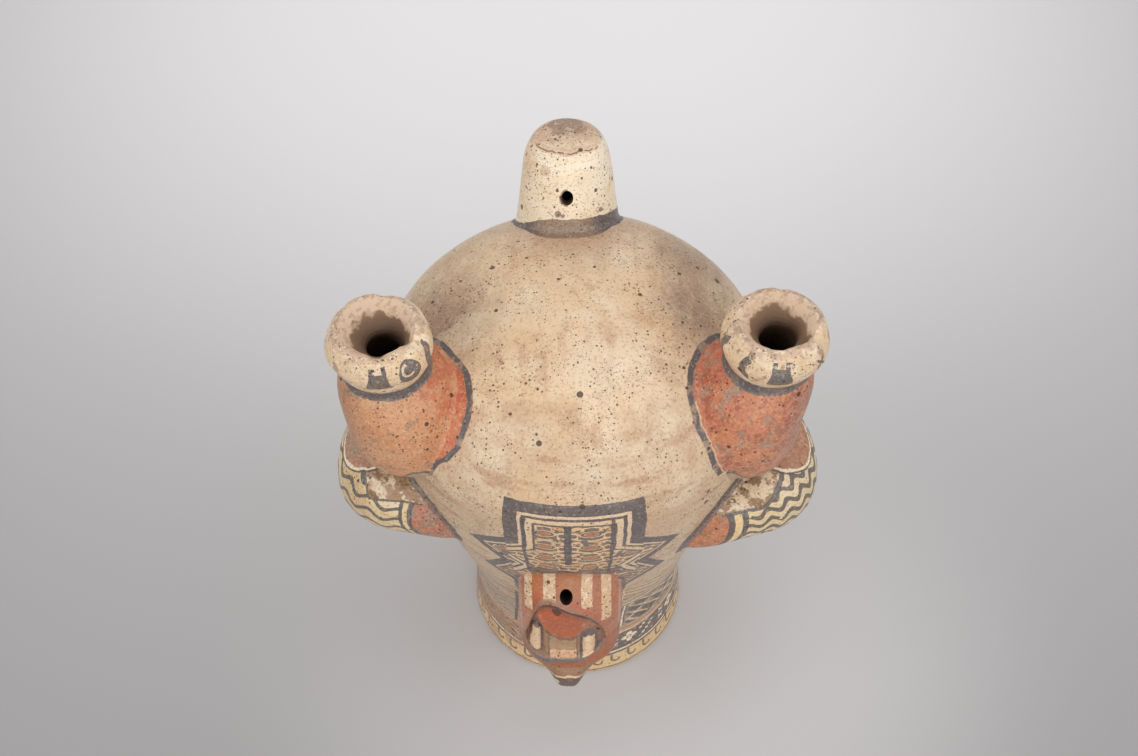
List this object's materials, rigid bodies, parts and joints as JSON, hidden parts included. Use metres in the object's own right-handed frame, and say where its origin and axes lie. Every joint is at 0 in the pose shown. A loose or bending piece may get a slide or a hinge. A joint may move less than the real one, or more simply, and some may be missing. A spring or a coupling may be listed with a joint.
{
  "type": "tripod effigy jar",
  "caption": "Painted clay jar on hollow legs, shaped as a crouching big cat with an open mouth, shown upside down on its rim.",
  "frame": {"origin": "on the surface the rim stands on, under the middle of the pot's overall box, which is about 2 mm from the axis of its mouth", "axes": "the jar is stored upside down, as it was pictured: +Z runs from the rim to the soles of the feet, the animal's head faces -Y and the tail is at +Y. In use the jar is turned over and stands on its two legs and its tail"},
  "size_m": [0.2904, 0.2563, 0.338],
  "materials": {
    "slipped_clay": "burnished cream slip with painted brown-black, red and buff"
  },
  "bodies": {
    "root": {"tripod_pot": "slipped_clay"}
  },
  "joints": []
}
